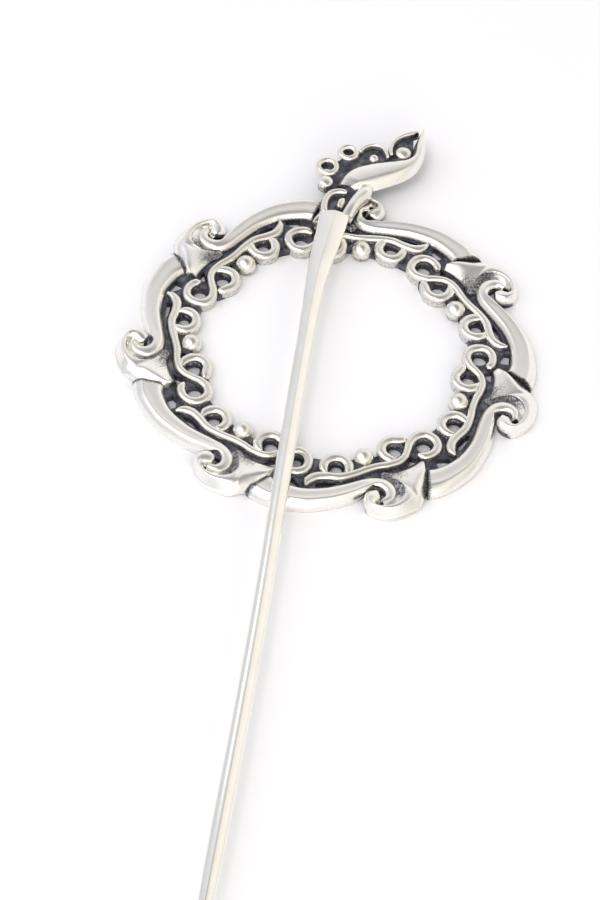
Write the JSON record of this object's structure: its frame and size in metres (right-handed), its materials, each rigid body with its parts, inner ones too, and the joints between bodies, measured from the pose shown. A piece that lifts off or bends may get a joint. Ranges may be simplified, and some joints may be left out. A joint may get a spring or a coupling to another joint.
{
  "type": "ring brooch with stick pin",
  "caption": "Openwork silver ring brooch for a hat, shawl or hair, with a loose long tapered stick pin that has a matching scrolled head.",
  "frame": {"origin": "centre of the ring's opening, on the plane of its flat back face", "axes": "+Z out of the front of the ring, +Y along the pin towards its head"},
  "size_m": [0.0575, 0.1431, 0.0046],
  "materials": {
    "polished_silver": "polished, softly worn",
    "burnished_silver": "burnished",
    "oxidised_silver": "oxidised, fine stippled"
  },
  "bodies": {
    "ring": {"ground_ring": "oxidised_silver", "leaf_1": "burnished_silver", "leaf_2": "burnished_silver", "leaf_3": "burnished_silver", "leaf_4": "burnished_silver", "leaf_5": "burnished_silver", "leaf_6": "burnished_silver", "leaf_7": "burnished_silver", "wave_1": "burnished_silver", "wave_2": "burnished_silver", "wave_3": "burnished_silver", "wave_4": "burnished_silver", "wave_5": "burnished_silver", "wave_6": "burnished_silver", "wave_7": "burnished_silver", "scroll_wire_1": "polished_silver", "scroll_wire_2": "polished_silver", "scroll_wire_3": "polished_silver", "scroll_wire_4": "polished_silver", "scroll_wire_5": "polished_silver", "scroll_wire_6": "polished_silver", "scroll_wire_7": "polished_silver", "left_loop_1": "polished_silver", "left_loop_2": "polished_silver", "left_loop_3": "polished_silver", "left_loop_4": "polished_silver", "left_loop_5": "polished_silver", "left_loop_6": "polished_silver", "left_loop_7": "polished_silver", "right_loop_1": "polished_silver", "right_loop_2": "polished_silver", "right_loop_3": "polished_silver", "right_loop_4": "polished_silver", "right_loop_5": "polished_silver", "right_loop_6": "polished_silver", "right_loop_7": "polished_silver", "bead_1": "polished_silver", "bead_2": "polished_silver", "bead_3": "polished_silver", "bead_4": "polished_silver", "bead_5": "polished_silver", "bead_6": "polished_silver", "bead_7": "polished_silver"},
    "pin": {"pin_shaft": "polished_silver", "head_ground": "oxidised_silver", "head_leaf": "burnished_silver", "head_tip_hook": "polished_silver", "head_curl": "polished_silver", "neck_hook": "polished_silver", "neck_curl": "polished_silver", "neck_strut": "burnished_silver", "head_eyelet_1": "polished_silver", "head_eyelet_2": "polished_silver", "head_lobe": "polished_silver", "head_bead": "polished_silver", "head_rim_wire": "polished_silver"}
  },
  "joints": [
    {"name": "pin_slide", "type": "slide", "parent": "ring", "child": "pin", "axis": [0, 1, 0], "range_m": [0, 0.135]}
  ]
}
